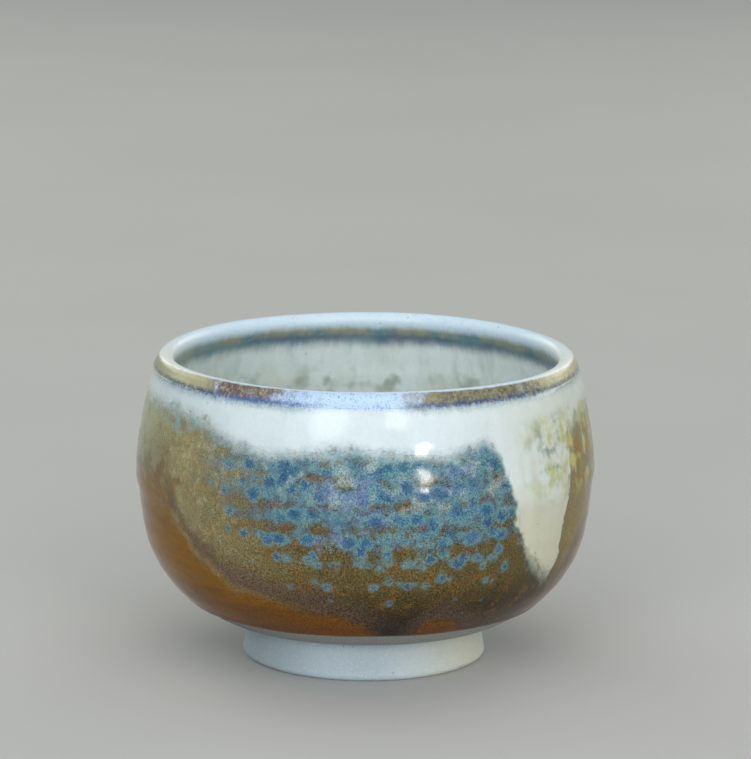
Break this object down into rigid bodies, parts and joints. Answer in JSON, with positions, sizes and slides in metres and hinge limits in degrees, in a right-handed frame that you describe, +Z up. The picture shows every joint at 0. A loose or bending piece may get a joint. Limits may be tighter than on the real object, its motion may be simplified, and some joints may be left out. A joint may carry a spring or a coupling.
{
  "type": "matcha bowl",
  "caption": "Rounded stoneware tea bowl on a low unglazed foot ring, with glaze coats inside and out and a dipped rim.",
  "frame": {"origin": "on the bowl's axis, on the surface that the foot ring stands on", "axes": "+Z up along the bowl's axis, -Y towards the front, which has the wide white pour, +X to the front's right"},
  "size_m": [0.12, 0.12, 0.081],
  "materials": {
    "bare_clay": "matt fired clay",
    "inner_glaze": "glossy grey-white glaze with soft olive smudges",
    "amber_glaze": "glossy amber iron glaze with blue mottling",
    "white_glaze": "glossy milk-white glaze",
    "rim_glaze": "glossy tan and violet-blue glaze, thin and white on the lip"
  },
  "bodies": {
    "root": {"clay_body": "bare_clay", "foot_ring": "bare_clay", "inner_glaze": "inner_glaze", "outer_glaze": "amber_glaze", "white_glaze": "white_glaze", "rim_glaze": "rim_glaze"}
  },
  "joints": []
}
